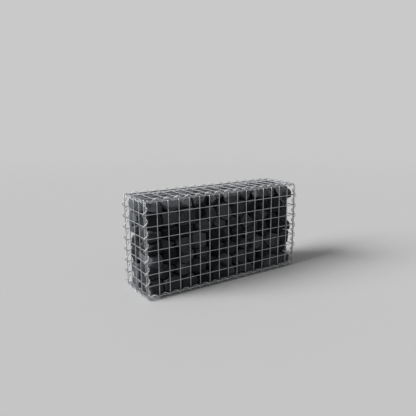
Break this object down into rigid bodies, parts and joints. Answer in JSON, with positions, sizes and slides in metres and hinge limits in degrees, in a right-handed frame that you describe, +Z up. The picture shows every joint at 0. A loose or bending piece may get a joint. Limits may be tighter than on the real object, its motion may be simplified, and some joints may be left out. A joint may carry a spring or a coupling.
{
  "type": "gabion wall basket",
  "caption": "Rectangular gabion basket of welded wire mesh laced at its edges with spiral binders and filled with dark broken stone, resting on its base.",
  "frame": {"origin": "middle of the footprint, on the floor", "axes": "+X along the length of the basket, +Y into its depth with the front face looking along -Y, +Z up"},
  "size_m": [0.8246, 0.2306, 0.4283],
  "materials": {
    "mesh_wire": "dull zinc coating",
    "binder_wire": "zinc coating, a little brighter than the mesh",
    "stone": "rough broken dark basalt"
  },
  "bodies": {
    "root": {"front_panel": "mesh_wire", "back_panel": "mesh_wire", "left_end_panel": "mesh_wire", "right_end_panel": "mesh_wire", "lid_panel": "mesh_wire", "base_panel": "mesh_wire", "top_front_spiral": "binder_wire", "top_back_spiral": "binder_wire", "top_left_spiral": "binder_wire", "top_right_spiral": "binder_wire", "bottom_front_spiral": "binder_wire", "bottom_back_spiral": "binder_wire", "bottom_left_spiral": "binder_wire", "bottom_right_spiral": "binder_wire", "front_left_corner_spiral": "binder_wire", "front_right_corner_spiral": "binder_wire", "back_left_corner_spiral": "binder_wire", "back_right_corner_spiral": "binder_wire", "tie_wire": "binder_wire", "stone_course_1": "stone", "stone_course_2": "stone", "stone_course_3": "stone", "stone_course_4": "stone", "stone_course_5": "stone", "stone_course_6": "stone", "stone_course_7": "stone"}
  },
  "joints": []
}
